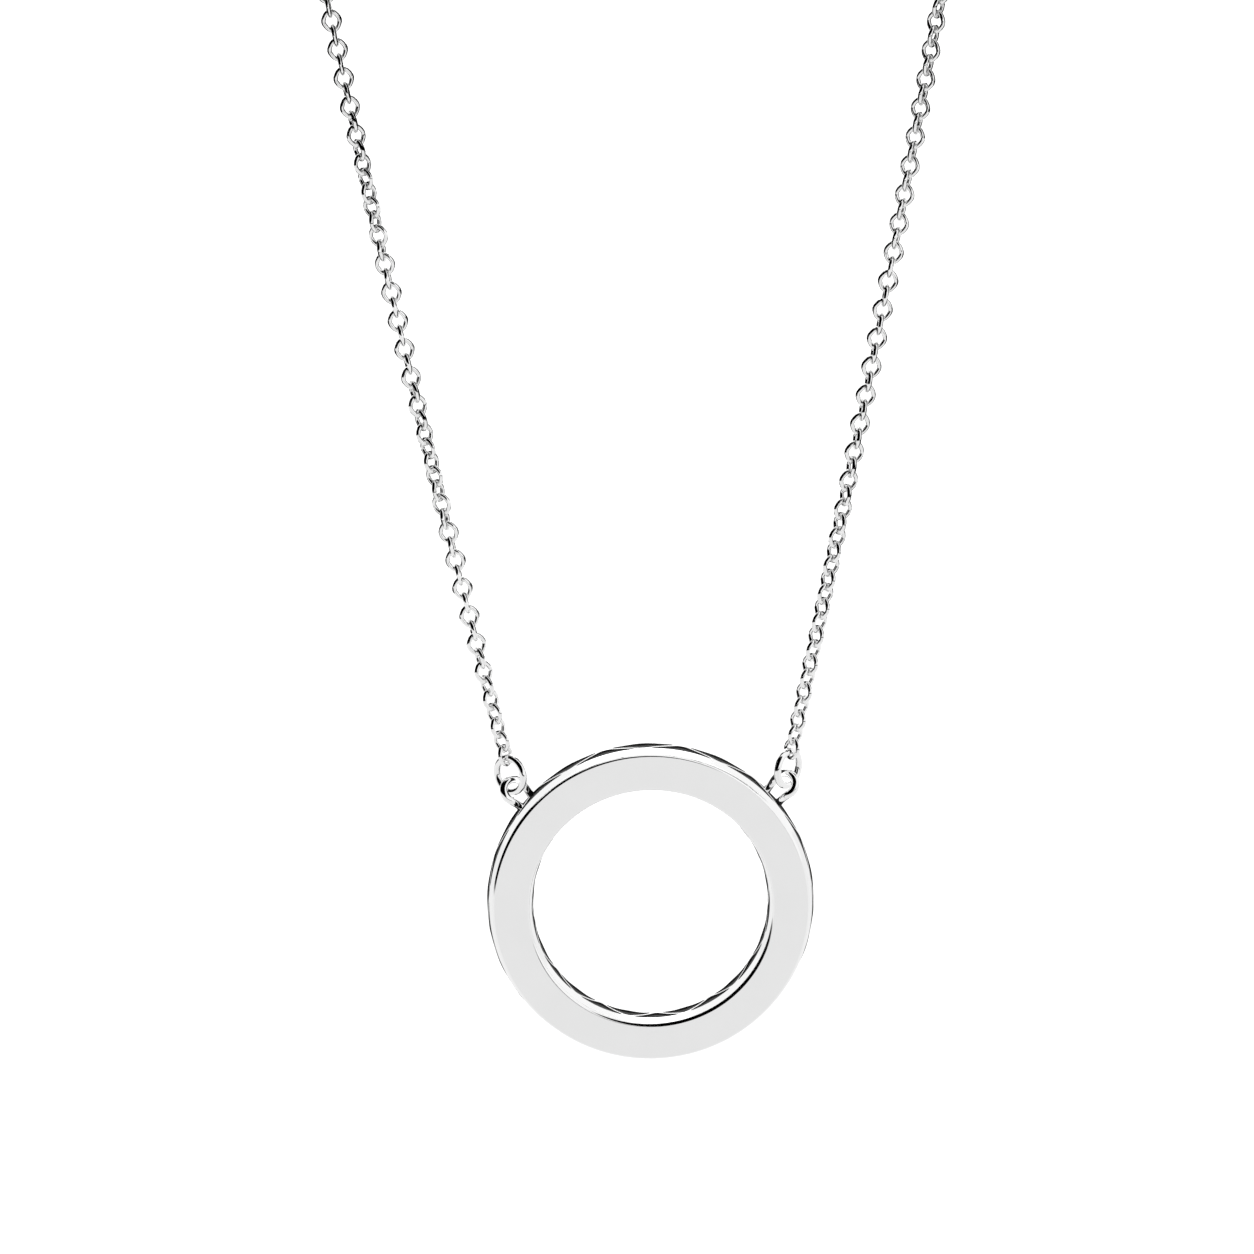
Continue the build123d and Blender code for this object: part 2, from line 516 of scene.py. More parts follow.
@dataclass
class OpenRing:
    """The flat open ring: a flared band with a back rim of triangular recesses between struts, with shade
    painted on the recess floors.
    """

    centre: Vector
    outer_radius: float = 9.0 * MM
    inner_radius: float = 6.93 * MM
    depth: float = 1.5 * MM
    outer_flare: float = 0.185 * MM
    inner_flare: float = 0.15 * MM
    outer_bevel: Bevel = Bevel(0.32 * MM, radians(57), radians(20))
    inner_bevel: Bevel = Bevel(0.26 * MM, radians(88), radians(38))
    rim_start: float = 0.80 * MM
    rim_end: float = 1.46 * MM
    rim_rise: float = 0.13 * MM
    rear_edge_radius: float = 0.04 * MM
    lobe_count: int = 26
    lobe_drop: float = 0.025 * MM
    lobe_start: float = radians(271.5)
    recess_depth: float = 0.035 * MM
    rail: float = 0.03
    strut: float = 0.09
    brink: float = 0.03
    support: float = 0.012 * MM
    steps_per_lobe: int = 28
    edge_steps: int = 8

    def _lobe(self, angle: float) -> float:
        """How far a place round the ring is from a lobe's middle, from 0 there to 1 between lobes."""
        return 0.5 - 0.5 * cos(self.lobe_count * (angle - self.lobe_start))

    def _strut_middle(self, angle: float) -> float:
        """Share of the rim's width where the zigzag strut runs, 1 being the rear edge."""
        periods = (angle - self.lobe_start) * self.lobe_count / 2 / FULL_TURN
        return abs(2 * (periods % 1) - 1)

    def _rim_places(self, angle: float) -> list[RimPlace]:
        """Places across the rim: a rail, a recess, the strut, a recess and a rail."""
        brink, rail, tip = self.brink, self.rail, 0.03
        middle = self._strut_middle(angle)
        low = max(middle - self.strut, rail + 2 * brink + tip)
        high = min(middle + self.strut, 1 - rail - 2 * brink - tip)
        low = min(low, 1 - rail - 2 * brink - 2 * tip)
        high = max(high, low + tip)
        places = [RimPlace(0.0, 0.0, 0.0)]
        for start, end in ((rail, low), (high, 1 - rail)):
            depth = min(max((end - start - 2 * brink - tip) / 0.06, 0.0), 1.0)
            places += [
                RimPlace(start, 0.0, 0.0),
                RimPlace(start + brink / 2, depth, depth),
                RimPlace((start + end) / 2, depth, depth),
                RimPlace(end - brink, depth, depth),
                RimPlace(end - brink / 4, depth / 4, depth),
                RimPlace(end, 0.0, 0.0),
            ]
        return places + [RimPlace(1.0, 0.0, 0.0)]

    def _rim_side(self, angle: float, outward: int, wall: float) -> list[tuple[float, float, float]]:
        """One side of the rim, from the wall to the rear edge.

        Args:
            angle: place round the ring.
            outward: 1 on the outside of the ring and -1 in its hole.
            wall: radius of the wall where the rim starts.

        Returns:
            Radius, depth and share of painted shade of each point.
        """
        rise = self.rim_rise - self.lobe_drop * self._lobe(angle)
        run = self.rim_end - self.rim_start
        length = hypot(rise, run)
        return [
            (
                wall + outward * (rise * place.share - self.recess_depth * place.recess * run / length),
                self.rim_start + run * place.share + self.recess_depth * place.recess * rise / length,
                place.dark,
            )
            for place in self._rim_places(angle)
        ]

    def _side(self, angle: float, outward: int) -> list[tuple[float, float, float]]:
        """One side of the band, from the face round its bevel, wall and rim to the back.

        Args:
            angle: place round the ring.
            outward: 1 on the outside of the ring and -1 in its hole.

        Returns:
            Radius, depth and share of recess of each point.
        """
        radius, flare, bevel = self.outer_radius, self.outer_flare, self.outer_bevel
        if outward < 0:
            radius, flare, bevel = self.inner_radius, self.inner_flare, self.inner_bevel
        lean = flare / self.rim_start
        wall = radius + outward * flare
        sup = self.support
        edge = bevel.points(radius, outward, lean, self.edge_steps)
        rim = self._rim_side(angle, outward, wall)
        first, last = edge[0], edge[-1]
        plain = [
            (first[0] - outward * sup, 0.0),
            *edge,
            (last[0] + outward * sup * lean, last[1] + sup),
            (wall - outward * sup * lean, self.rim_start - sup),
        ]
        back = self._rear_corner(rim[-1][0], outward)
        return [(*point, 0.0) for point in plain] + rim + [(*point, 0.0) for point in back]

    def _rear_corner(self, radius: float, outward: int) -> list[tuple[float, float]]:
        """The rounded rear corner of the rim, from its side to the back face."""
        size = self.rear_edge_radius
        points = []
        for step in range(1, 6):
            turn = pi / 2 * step / 5
            points.append((
                radius - outward * size * (1 - cos(turn)),
                self.depth - size * (1 - sin(turn)),
            ))
        points.append((radius - outward * (size + self.support), self.depth))
        return points

    def build(self) -> bpy.types.Object:
        """Draw the ring.

        Returns:
            The ring's object.
        """
        columns = self.lobe_count * self.steps_per_lobe
        rows, recesses = [], []
        for column in range(columns):
            angle = FULL_TURN * column / columns
            section = self._side(angle, 1) + list(reversed(self._side(angle, -1)))
            rows.append([
                self.centre + Vector((radius * cos(angle), depth, radius * sin(angle)))
                for radius, depth, _ in section
            ])
            recesses += [recess for _, _, recess in section]
        shell = Shell()
        shell.add_rows(rows, closed_rows=True)
        piece = shell.object("open_ring")
        # The recess floors carry the mask of painted shade for the finish.
        layer = piece.data.attributes.new(RING_FINISH.recess_shade_attribute, "FLOAT", "POINT")
        layer.data.foreach_set("value", recesses)
        return dress(piece, RING_FINISH, PENDANT_BODY, "pendant_ring")


# ---------------------------------------------------------------- lugs

class Foot(NamedTuple):
    """Where a lug's limb is soldered to the ring."""

    angle: float  # round the ring, up from level
    depth: float  # behind the ring's face


@dataclass
class WireLug:
    """A loop of wire whose two limbs lean back to the ring's rear rim."""

    side: Side
    ring: OpenRing
    hang: Vector
    angle: float
    reach: float
    near_foot: Foot
    far_foot: Foot
    wire: float = 0.48 * MM
    half_width: float = 0.64 * MM
    turn: float = radians(30.0)
    closing: float = radians(12.0)
    root_radius: float = 8.98 * MM
    flare: float = 0.05 * MM
    flare_length: float = 0.20 * MM
    bend_steps: int = 28
    leg_steps: int = 16
    sides: int = 20

    @property
    def out(self) -> Vector:
        """Direction in which the lug stands out, on the right."""
        return Vector((cos(self.angle), 0, sin(self.angle)))

    @property
    def across(self) -> Vector:
        """Direction from the lug's near limb to its far one, on the right."""
        rise = Vector((-sin(self.angle), 0, cos(self.angle)))
        return rise * cos(self.turn) + Vector((0, 1, 0)) * sin(self.turn)

    @property
    def bend(self) -> Vector:
        """Centre of the lug's bend, on the right."""
        radius = self.ring.outer_radius + self.reach - self.wire / 2 - self.half_width
        return self.hang + self.out * radius

    def _foot(self, foot: Foot) -> Vector:
        """Where a limb ends inside the ring, on the right."""
        return self.ring.centre + Vector((
            self.root_radius * cos(foot.angle), foot.depth, self.root_radius * sin(foot.angle)
        ))

    def _limb(self, place: Foot, end: Vector, way: Vector) -> list[Vector]:
        """A limb's centre line from its foot to the bend, which it meets along a direction."""
        foot = self._foot(place)
        span = (end - foot).length
        leave = Vector((cos(place.angle), 0, sin(place.angle))) * span
        meet = way * span
        points = []
        for step in range(self.leg_steps):
            share = step / self.leg_steps
            square, cube = share**2, share**3
            points.append(
                foot * (2 * cube - 3 * square + 1) + leave * (cube - 2 * square + share)
                + end * (3 * square - 2 * cube) + meet * (cube - square)
            )
        return points

    def _path(self) -> list[Vector]:
        """The whole wire's centre line, on the right."""
        bend = []
        for step in range(self.bend_steps + 1):
            turn = -self.closing + (pi + 2 * self.closing) * step / self.bend_steps
            bend.append(
                self.bend + self.half_width * (self.out * sin(turn) - self.across * cos(turn))
            )
        way = self.out * cos(self.closing) - self.across * sin(self.closing)
        back = self.out * cos(self.closing) + self.across * sin(self.closing)
        near = self._limb(self.near_foot, bend[0], way)
        far = self._limb(self.far_foot, bend[-1], back)
        return near + bend + list(reversed(far))

    def _radius(self, point: Vector, foot: Vector) -> float:
        """The wire's radius, wider where the solder meets the ring."""
        return self.wire / 2 + self.flare * exp(-(point - foot).length / self.flare_length)

    def build(self) -> bpy.types.Object:
        """Draw the lug.

        Returns:
            The lug's object.
        """
        path = self._path()
        ends = (path[0], path[-1])
        radii = [max(self._radius(point, foot) for foot in ends) for point in path]
        normal = self.side.mirrored(self.across.cross(self.out).normalized())
        points = [self.side.mirrored(point) for point in path]
        shell = Shell()
        rows = wire_rows(points, [normal] * len(path), radii, self.sides, closed=False)
        shell.add_rows(rows, closed_rows=False, capped=True)
        piece = shell.object(f"wire_lug_{self.side.word}")
        piece.visible_glossy = False
        return dress(piece, LUG_FINISH, PENDANT_BODY, "pendant_ring")


# ---------------------------------------------------------------- jump rings

@dataclass
class JumpRing:
    """A round wire ring between a lug and the first link of its chain."""

    side: Side
    seat: Vector
    chain_rise: Vector
    turn: float
    setback: float
    diameter: float = 2.42 * MM
    wire: float = 0.42 * MM
    steps: int = 72
    sides: int = 20

    @property
    def radius(self) -> float:
        """Radius of the wire's centre line."""
        return (self.diameter - self.wire) / 2

    @property
    def up(self) -> Vector:
        """Direction from the lug's seat to the chain's foot, on the right."""
        lean = self.setback / (2 * self.radius)
        return self.chain_rise * (1 - lean**2) ** 0.5 + Vector((0, lean, 0))

    def chain_foot(self) -> Vector:
        """Where the chain's route starts, on this side."""
        return self.side.mirrored(self.seat + self.up * (2 * self.radius))

    def build(self) -> bpy.types.Object:
        """Draw the jump ring.

        Returns:
            Its object.
        """
        up = self.side.mirrored(self.up)
        centre = self.side.mirrored(self.seat) + up * self.radius
        level = Vector((up.z, 0, -up.x)).normalized()
        across = up.cross(level).normalized()
        level_turned = level * cos(self.turn) + across * sin(self.turn)
        shell = Shell()
        rows = round_wire(centre, level_turned, up, self.radius, self.wire / 2, self.steps, self.sides)
        shell.add_rows(rows, closed_rows=True)
        name = f"jump_ring_{self.side.word}"
        return dress(shell.object(f"{name}_wire"), JUMP_RING_FINISH, STRANDS_BODY, name)


# ---------------------------------------------------------------- chain

@dataclass
class LinkRun:
    """A run of interlocking oval links along a route, each square to the one before."""

    name: str
    node: str
    turns: list[Turn]
    first_along: float
    pitch: float
    count: int
    first_index: int
    steps: int
    sides: int
    length: float = 1.42 * MM
    width: float = 1.20 * MM
    wire: float = 0.27 * MM
    side_corner: float = 1.42
    end_corner: float = 1.08
    facet_tilt: float = radians(36.0)
    facet_depth: float = 0.036 * MM
    sharpest: float = radians(28.0)

    def _sizes(self) -> dict[str, float | int]:
        """The tree's inputs and their values."""
        return {
            "Link Length": self.length,
            "Link Width": self.width,
            "Wire": self.wire,
            "Side Corner": self.side_corner,
            "End Corner": self.end_corner,
            "Facet Depth": self.facet_depth,
            "Pitch": self.pitch,
            "First Link": self.first_along,
            "Link Count": self.count,
            "First Index": self.first_index,
            "Link Steps": self.steps,
            "Wire Sides": self.sides,
        }

    def _turn(self, tree: NodeTree, share: Term) -> Term:
        """Angle of the even links in radians, read from the table of turns."""
        angles = [turn.angle for turn in self.turns]
        low, high = min(angles) - 1, max(angles) + 1
        reading = tree.add("ShaderNodeFloatCurve", inputs={"Value": share})
        mapping = reading.socket.node.mapping
        curve = mapping.curves[0]
        while len(curve.points) < len(self.turns):
            curve.points.new(0.5, 0.5)
        for point, turn in zip(curve.points, self.turns):
            point.location = (turn.along, (turn.angle - low) / (high - low))
            point.handle_type = "VECTOR"
        mapping.update()
        return radians(low) + radians(high - low) * reading

    def _tree(self, material: bpy.types.Material) -> bpy.types.NodeTree:
        """Build the tree that strings the links on a route.

        Args:
            material: the links' finish.

        Returns:
            The geometry tree.
        """
        group = bpy.data.node_groups.new(self.name, "GeometryNodeTree")
        group.interface.new_socket("Route", in_out="INPUT", socket_type="NodeSocketGeometry")
        for name, value in self._sizes().items():
            kind = "NodeSocketInt" if isinstance(value, int) else "NodeSocketFloat"
            group.interface.new_socket(name, in_out="INPUT", socket_type=kind)
        group.interface.new_socket("Links", in_out="OUTPUT", socket_type="NodeSocketGeometry")
        tree = NodeTree(group)
        entry = tree.add("NodeGroupInput").socket.node
        size = {socket.name: Term(tree, socket) for socket in entry.outputs if socket.name}

        index = tree.add("GeometryNodeInputIndex")
        along = size["First Link"] + size["Pitch"] * index
        sample = tree.add(
            "GeometryNodeSampleCurve", {"mode": "LENGTH"}, {"Curves": size["Route"], "Length": along}
        ).socket.node
        tangent = Term(tree, sample.outputs["Tangent"])
        places = tree.add("GeometryNodePoints", inputs={"Count": size["Link Count"]})
        strung = tree.add(
            "GeometryNodeSetPosition",
            inputs={"Geometry": places, "Position": Term(tree, sample.outputs["Position"])},
        )

        number = index + size["First Index"]
        turn = self._turn(tree, index / size["Link Count"]) + (1 - number % 2.0) * (pi / 2)
        level = tree.add(
            "ShaderNodeVectorMath", {"operation": "CROSS_PRODUCT"}, {0: (0, 1, 0), 1: tangent}
        )
        level_part = tree.add(
            "ShaderNodeVectorMath", {"operation": "SCALE"}, {"Vector": level, "Scale": turn.cosine()}
        )
        away_part = tree.add("ShaderNodeCombineXYZ", inputs={"Y": turn.sine()})
        width_way = tree.add(
            "ShaderNodeVectorMath", {"operation": "ADD"}, {0: level_part, 1: away_part}
        )
        rotation = tree.add(
            "FunctionNodeAxesToRotation",
            {"primary_axis": "Z", "secondary_axis": "X"},
            {"Primary Axis": tangent, "Secondary Axis": width_way},
        )

        circle = tree.add(
            "GeometryNodeCurvePrimitiveCircle", inputs={"Resolution": size["Link Steps"], "Radius": 1.0}
        )
        place = tree.add("ShaderNodeSeparateXYZ", inputs={0: tree.add("GeometryNodeInputPosition")})
        pinched = tree.add(
            "ShaderNodeCombineXYZ",
            inputs={
                axis: Term(tree, place.socket.node.outputs[axis]).pinched(size[power])
                for axis, power in (("X", "End Corner"), ("Y", "Side Corner"))
            },
        )
        cornered = tree.add(
            "GeometryNodeSetPosition", inputs={"Geometry": circle, "Position": pinched}
        )
        oval_size = tree.add(
            "ShaderNodeCombineXYZ",
            inputs={
                "X": (size["Link Width"] - size["Wire"]) / 2,
                "Y": (size["Link Length"] - size["Wire"]) / 2,
                "Z": 1.0,
            },
        )
        oval = tree.add("GeometryNodeTransform", inputs={"Geometry": cornered, "Scale": oval_size})
        section = tree.add(
            "GeometryNodeCurvePrimitiveCircle",
            inputs={"Resolution": size["Wire Sides"], "Radius": size["Wire"] / 2},
        )
        link = tree.add("GeometryNodeCurveToMesh", inputs={"Curve": oval, "Profile Curve": section})
        faceted = tree.add(
            "GeometryNodeSetPosition", inputs={"Geometry": link, "Offset": self._facets(tree, size)}
        )
        smooth = tree.add("GeometryNodeSetShadeSmooth", inputs={"Geometry": faceted})
        bend = tree.add("GeometryNodeInputMeshEdgeAngle")
        sharp = tree.add(
            "FunctionNodeCompare", {"operation": "GREATER_THAN"}, {"A": bend, "B": self.sharpest}
        )
        cut = tree.add(
            "GeometryNodeSetShadeSmooth",
            {"domain": "EDGE"},
            {"Geometry": smooth, "Selection": sharp, "Shade Smooth": False},
        )
        upright = tree.add("GeometryNodeTransform", inputs={"Geometry": cut, "Rotation": (pi / 2, 0, 0)})
        chain = tree.add(
            "GeometryNodeInstanceOnPoints",
            inputs={"Points": strung, "Instance": upright, "Rotation": rotation},
        )
        real = tree.add("GeometryNodeRealizeInstances", inputs={"Geometry": chain})
        coated = tree.add("GeometryNodeSetMaterial", inputs={"Geometry": real, "Material": material})
        tree.result("NodeGroupOutput", {"Links": coated})
        return group

    def _facets(self, tree: NodeTree, size: dict[str, Term]) -> Term:
        """How far each point of a flat-lying link moves in to the four facets cut on its sides."""
        lean, tip = cos(self.facet_tilt), sin(self.facet_tilt)
        point = tree.add("GeometryNodeInputPosition")
        parts = tree.add("ShaderNodeSeparateXYZ", inputs={0: point}).socket.node.outputs
        out, aside = Term(tree, parts["X"]), Term(tree, parts["Z"])
        centre_line = (size["Link Width"] - size["Wire"]) / 2
        depth = centre_line * lean + size["Wire"] / 2 - size["Facet Depth"]
        excess = (out.size() * lean + aside.size() * tip - depth).at_least(0.0)
        return tree.add(
            "ShaderNodeCombineXYZ",
            inputs={"X": -lean * out.sign() * excess, "Z": -tip * aside.sign() * excess},
        )

    def build(self, route: bpy.types.Curve, material: bpy.types.Material) -> bpy.types.Object:
        """String the links.

        Args:
            route: the whole route of this side.
            material: the links' finish.

        Returns:
            The links as one plain mesh object.
        """
        rail = link_object(f"{self.name}_rail", route)
        group = self._tree(material)
        modifier = rail.modifiers.new("links", "NODES")
        modifier.node_group = group
        sizes = self._sizes()
        for item in group.interface.items_tree:
            if item.in_out == "INPUT" and item.name in sizes:
                modifier[item.identifier] = sizes[item.name]
        rail.update_tag()
        evaluated = rail.evaluated_get(bpy.context.evaluated_depsgraph_get())
        mesh = bpy.data.meshes.new_from_object(evaluated)
        mesh.name = self.name
        bpy.data.objects.remove(rail)
        return dress(link_object(self.name, mesh), CHAIN_FINISH, STRANDS_BODY, self.node)


class Corner(NamedTuple):
    """A corner of the chain's route."""

    out: float  # from the middle, as a share of the loop's half width
    up: float  # above the ring's centre, as a share of the loop's height


LEFT_CORNERS = [
    Corner(out=0.362, up=0.165),
    Corner(out=0.574, up=0.397),
]
RIGHT_CORNERS = [
    Corner(out=0.371, up=0.165),
    Corner(out=0.601, up=0.397),
]
UPPER_CORNERS = [
    Corner(out=0.833, up=0.622),
    Corner(out=0.957, up=0.752),
    Corner(out=1.000, up=0.842),
    Corner(out=0.949, up=0.903),
    Corner(out=0.817, up=0.948),
    Corner(out=0.634, up=0.979),
    Corner(out=0.422, up=0.996),
    Corner(out=0.285, up=1.000),
]
LEFT_TURNS = [
    Turn(along=0.00, angle=-41),
    Turn(along=0.06, angle=-45),
    Turn(along=0.15, angle=-78),
    Turn(along=0.22, angle=-90),
    Turn(along=0.29, angle=-100),
    Turn(along=0.38, angle=-135),
    Turn(along=0.50, angle=-170),
    Turn(along=0.57, angle=-180),
    Turn(along=0.64, angle=-192),
    Turn(along=0.72, angle=-225),
    Turn(along=0.80, angle=-253),
    Turn(along=0.86, angle=-266),
    Turn(along=0.93, angle=-270),
    Turn(along=1.00, angle=-275),
]
RIGHT_TURNS = [
    Turn(along=0.00, angle=45),
    Turn(along=0.12, angle=45),
    Turn(along=0.25, angle=36),
    Turn(along=0.33, angle=22),
    Turn(along=0.40, angle=9),
    Turn(along=0.58, angle=0),
    Turn(along=0.65, angle=-18),
    Turn(along=0.82, angle=-22),
    Turn(along=0.91, angle=-30),
    Turn(along=1.00, angle=-43),
]


@dataclass
class Chain:
    """One side's cable chain, from its jump ring up and over to the clasp's eye."""

    side: Side
    foot: Vector
    ring_height: float
    turns: list[Turn]
    lower_corners: list[Corner]
    loop_half_width: float = 37.2 * MM
    loop_height: float = 199.4 * MM
    clasp_height: float = 1.2 * MM
    eye_link_out: float = 5.43 * MM
    first_along: float = 0.15 * MM
    pitch: float = 0.8425 * MM
    shown_links: int = 56
    shown_steps: int = 20
    shown_sides: int = 16
    hidden_steps: int = 12
    hidden_sides: int = 6
    route_resolution: int = 48

    def corners(self) -> list[Vector]:
        """The route's points from the jump ring to the clasp, on the right."""
        return [
            Vector((
                corner.out * self.loop_half_width, 0, self.ring_height + corner.up * self.loop_height
            ))
            for corner in self.lower_corners + UPPER_CORNERS
        ]

    def _route(self) -> bpy.types.Curve:
        """The route as one smooth spline."""
        points = [self.foot]
        points += [self.side.mirrored(corner) for corner in self.corners()]
        points.append(self.side.mirrored(Vector((self.eye_link_out, 0, self.clasp_height))))
        curve = bpy.data.curves.new(f"chain_{self.side.word}_route", "CURVE")
        curve.dimensions = "3D"
        spline = curve.splines.new("NURBS")
        spline.points.add(len(points) - 1)
        for control, point in zip(spline.points, points):
            control.co = (*point, 1.0)
        spline.order_u = 3
        spline.use_endpoint_u = True
        spline.resolution_u = self.route_resolution
        curve.resolution_u = self.route_resolution
        return curve

    def _length(self, route: bpy.types.Curve) -> float:
        """The route's length."""
        rail = link_object("route_measure", route)
        mesh = bpy.data.meshes.new_from_object(rail)
        points = [vertex.co.copy() for vertex in mesh.vertices]
        bpy.data.objects.remove(rail)
        bpy.data.meshes.remove(mesh)
        return sum((after - before).length for before, after in zip(points, points[1:]))

    def build(self) -> list[bpy.types.Object]:
        """String both runs of links.

        Returns:
            The stretch that the viewer sees and the stretch up to the clasp.
        """
        route = self._route()
        length = self._length(route)
        hidden_start = self.first_along + self.shown_links * self.pitch
        gaps = round((length - hidden_start) / self.pitch)
        last_index = self.shown_links + gaps
        eye_turn = self._turn_at_eye(last_index)
        shown = LinkRun(
            name=f"chain_{self.side.word}_links",
            node=f"chain_{self.side.word}",
            turns=self.turns,
            first_along=self.first_along,
            pitch=self.pitch,
            count=self.shown_links,
            first_index=0,
            steps=self.shown_steps,
            sides=self.shown_sides,
        )
        hidden = LinkRun(
            name=f"chain_{self.side.word}_back_links",
            node=f"chain_{self.side.word}_back",
            turns=[Turn(0.0, self.turns[-1].angle), Turn(1.0, eye_turn)],
            first_along=hidden_start,
            pitch=(length - hidden_start) / gaps,
            count=gaps + 1,
            first_index=self.shown_links,
            steps=self.hidden_steps,
            sides=self.hidden_sides,
        )
        log.info("%s chain: %.1f mm, %d links", self.side.word, length / MM, last_index + 1)
        material = CHAIN_FINISH.material()
        return [run.build(route, material) for run in (shown, hidden)]

    def _turn_at_eye(self, last_index: int) -> float:
        """Nearest turn that lays the last link's width across the clasp's eye."""
        base = 0.0 if last_index % 2 == 0 else 90.0
        steps = round((self.turns[-1].angle - base) / 180)
        return base + 180.0 * steps


# ---------------------------------------------------------------- clasp

@dataclass
class Clasp:
    """The plain barrel clasp at the top of the loop, with a soldered eye at each end."""

    diameter: float = 2.39 * MM
    length: float = 8.0 * MM
    end_radius: float = 0.4 * MM
    eye_diameter: float = 1.8 * MM
    eye_wire: float = 0.44 * MM
    eye_bury: float = 0.3 * MM
    sides: int = 72
    end_steps: int = 8

    def _profile(self) -> list[tuple[float, float]]:
        """The barrel from one end to the other, as place along it and radius."""
        half, radius, edge = self.length / 2, self.diameter / 2, self.end_radius
        end = [
            (half - edge + edge * sin(turn), radius - edge + edge * cos(turn))
            for turn in (pi / 2 * step / self.end_steps for step in range(self.end_steps + 1))
        ]
        face = [(half, radius - edge - 0.02 * MM), (half, 0.1 * MM)]
        right = [(half - edge - 0.02 * MM, radius), *end, *face]
        return [(-along, radius) for along, radius in reversed(right)] + right

    def build(self) -> bpy.types.Object:
        """Draw the clasp.

        Returns:
            Its object.
        """
        height = self.diameter / 2
        shell = Shell()
        rows = [
            [
                Vector((along, radius * cos(turn), height + radius * sin(turn)))
                for turn in (FULL_TURN * step / self.sides for step in range(self.sides))
            ]
            for along, radius in self._profile()
        ]
        shell.add_rows(rows, closed_rows=False, capped=True)
        eye_radius = (self.eye_diameter - self.eye_wire) / 2
        eye_out = self.length / 2 + self.eye_diameter / 2 - self.eye_bury
        for side in Side:
            eye = round_wire(
                Vector((side.value * eye_out, 0, height)),
                Vector((1, 0, 0)), Vector((0, 0, 1)), eye_radius, self.eye_wire / 2, 48, 16,
            )
            shell.add_rows(eye, closed_rows=True)
        return dress(shell.object("clasp_barrel"), CLASP_FINISH, STRANDS_BODY, "clasp")


# ---------------------------------------------------------------- studio

@dataclass(frozen=True)
class StudioPaint:
    """A plain matt paint or a card that shows one tone.

    Attributes:
        name: the material's name.
        tone: its brightness.
        glow: whether the card gives its tone without any light on it.
    """

    name: str
    tone: float
    glow: bool = False

    def material(self) -> bpy.types.Material:
        """Build the paint."""
        material = bpy.data.materials.new(self.name)
        material.use_nodes = True
        material.node_tree.nodes.clear()
        tree = NodeTree(material.node_tree)
        if self.glow:
            shade = tree.add("ShaderNodeAttribute", {"attribute_name": "shade"}, output="Fac")
            shader = tree.add("ShaderNodeEmission", inputs={"Strength": shade * self.tone})
        else:
            shader = tree.add(
                "ShaderNodeBsdfDiffuse", inputs={"Color": (self.tone, self.tone, self.tone, 1.0)}
            )
        tree.result("ShaderNodeOutputMaterial", {"Surface": shader})
        return material


def smooth_step(distance: float, width: float) -> float:
    """A smooth rise from 0 to 1 over a width."""
    share = min(max(distance / width, 0.0), 1.0)
    return share * share * (3 - 2 * share)


def mirrored_only(card: bpy.types.Object) -> None:
    """Show a stage object in the silver's reflections alone."""
    card.visible_camera = False
    card.visible_diffuse = False
    card.visible_shadow = False


class Heading(NamedTuple):
    """A direction from the ring."""

    around: float  # round the line of sight, from the viewer's right over the top
    toward: float  # toward the viewer


@dataclass
class Dome:
    """Part of a dome round the ring that the silver mirrors.

    Attributes:
        name: the dome's name.
        start: one corner, in degrees.
        end: the opposite corner.
        tone: the dome's tone in a direction.
        radius: its radius.
        steps: steps along each side.
    """

    name: str
    start: Heading
    end: Heading
    tone: Callable[[Heading], float]
    radius: float = 1.4
    steps: int = 72

    def build(self, centre: Vector) -> bpy.types.Object:
        """Hang the dome round a point.

        Args:
            centre: middle of the dome.

        Returns:
            The dome's object, which only the silver sees.
        """
        points, tones, faces = [], [], []
        for row in range(self.steps + 1):
            toward = self.start.toward + (self.end.toward - self.start.toward) * row / self.steps
            for column in range(self.steps + 1):
                around = self.start.around + (self.end.around - self.start.around) * column / self.steps
                level = cos(radians(toward))
                points.append(centre + self.radius * Vector((
                    level * cos(radians(around)), -sin(radians(toward)), level * sin(radians(around))
                )))
                tones.append(self.tone(Heading(around, toward)))
        width = self.steps + 1
        for row in range(self.steps):
            for column in range(self.steps):
                corner = row * width + column
                faces.append((corner, corner + 1, corner + width + 1, corner + width))
        return tone_card(self.name, points, faces, tones)


def tone_card(
    name: str, points: list[Vector], faces: list[Quad], tones: list[float]
) -> bpy.types.Object:
    """Make a card that glows with a tone at each point and that only the silver sees."""
    mesh = bpy.data.meshes.new(name)
    mesh.from_pydata([tuple(point) for point in points], [], faces)
    layer = mesh.attributes.new("shade", "FLOAT", "POINT")
    layer.data.foreach_set("value", tones)
    mesh.materials.append(StudioPaint(f"{name}_tone", 1.0, glow=True).material())
    card = link_object(name, mesh)
    mirrored_only(card)
    return card


@dataclass(frozen=True)
class Fin:
    """A dark upright card beside a strand, square to the necklace.

    Attributes:
        name: the card's name.
        beside: how far it stands from the strand, away from the other one.
        low: height of its foot above the ring's centre.
        high: height of its head.
        front: how far its front edge stands from the strands, backward.
        back: how far its rear edge does.
        tone: its tone.
    """

    name: str
    beside: float
    low: float
    high: float
    front: float
    back: float
    tone: float = 0.0

    def build(self, ring_height: float) -> None:
        """Stand the card beside both strands."""
        for side in Side:
            points = [
                Vector((
                    side.value * (STRAND_FOOT + STRAND_SLOPE * up + self.beside), depth, ring_height + up
                ))
                for up, depth in (
                    (self.low, self.front), (self.low, self.back),
                    (self.high, self.back), (self.high, self.front),
                )
            ]
            tone_card(f"{self.name}_{side.word}", points, [(0, 1, 2, 3)], [self.tone] * 4)


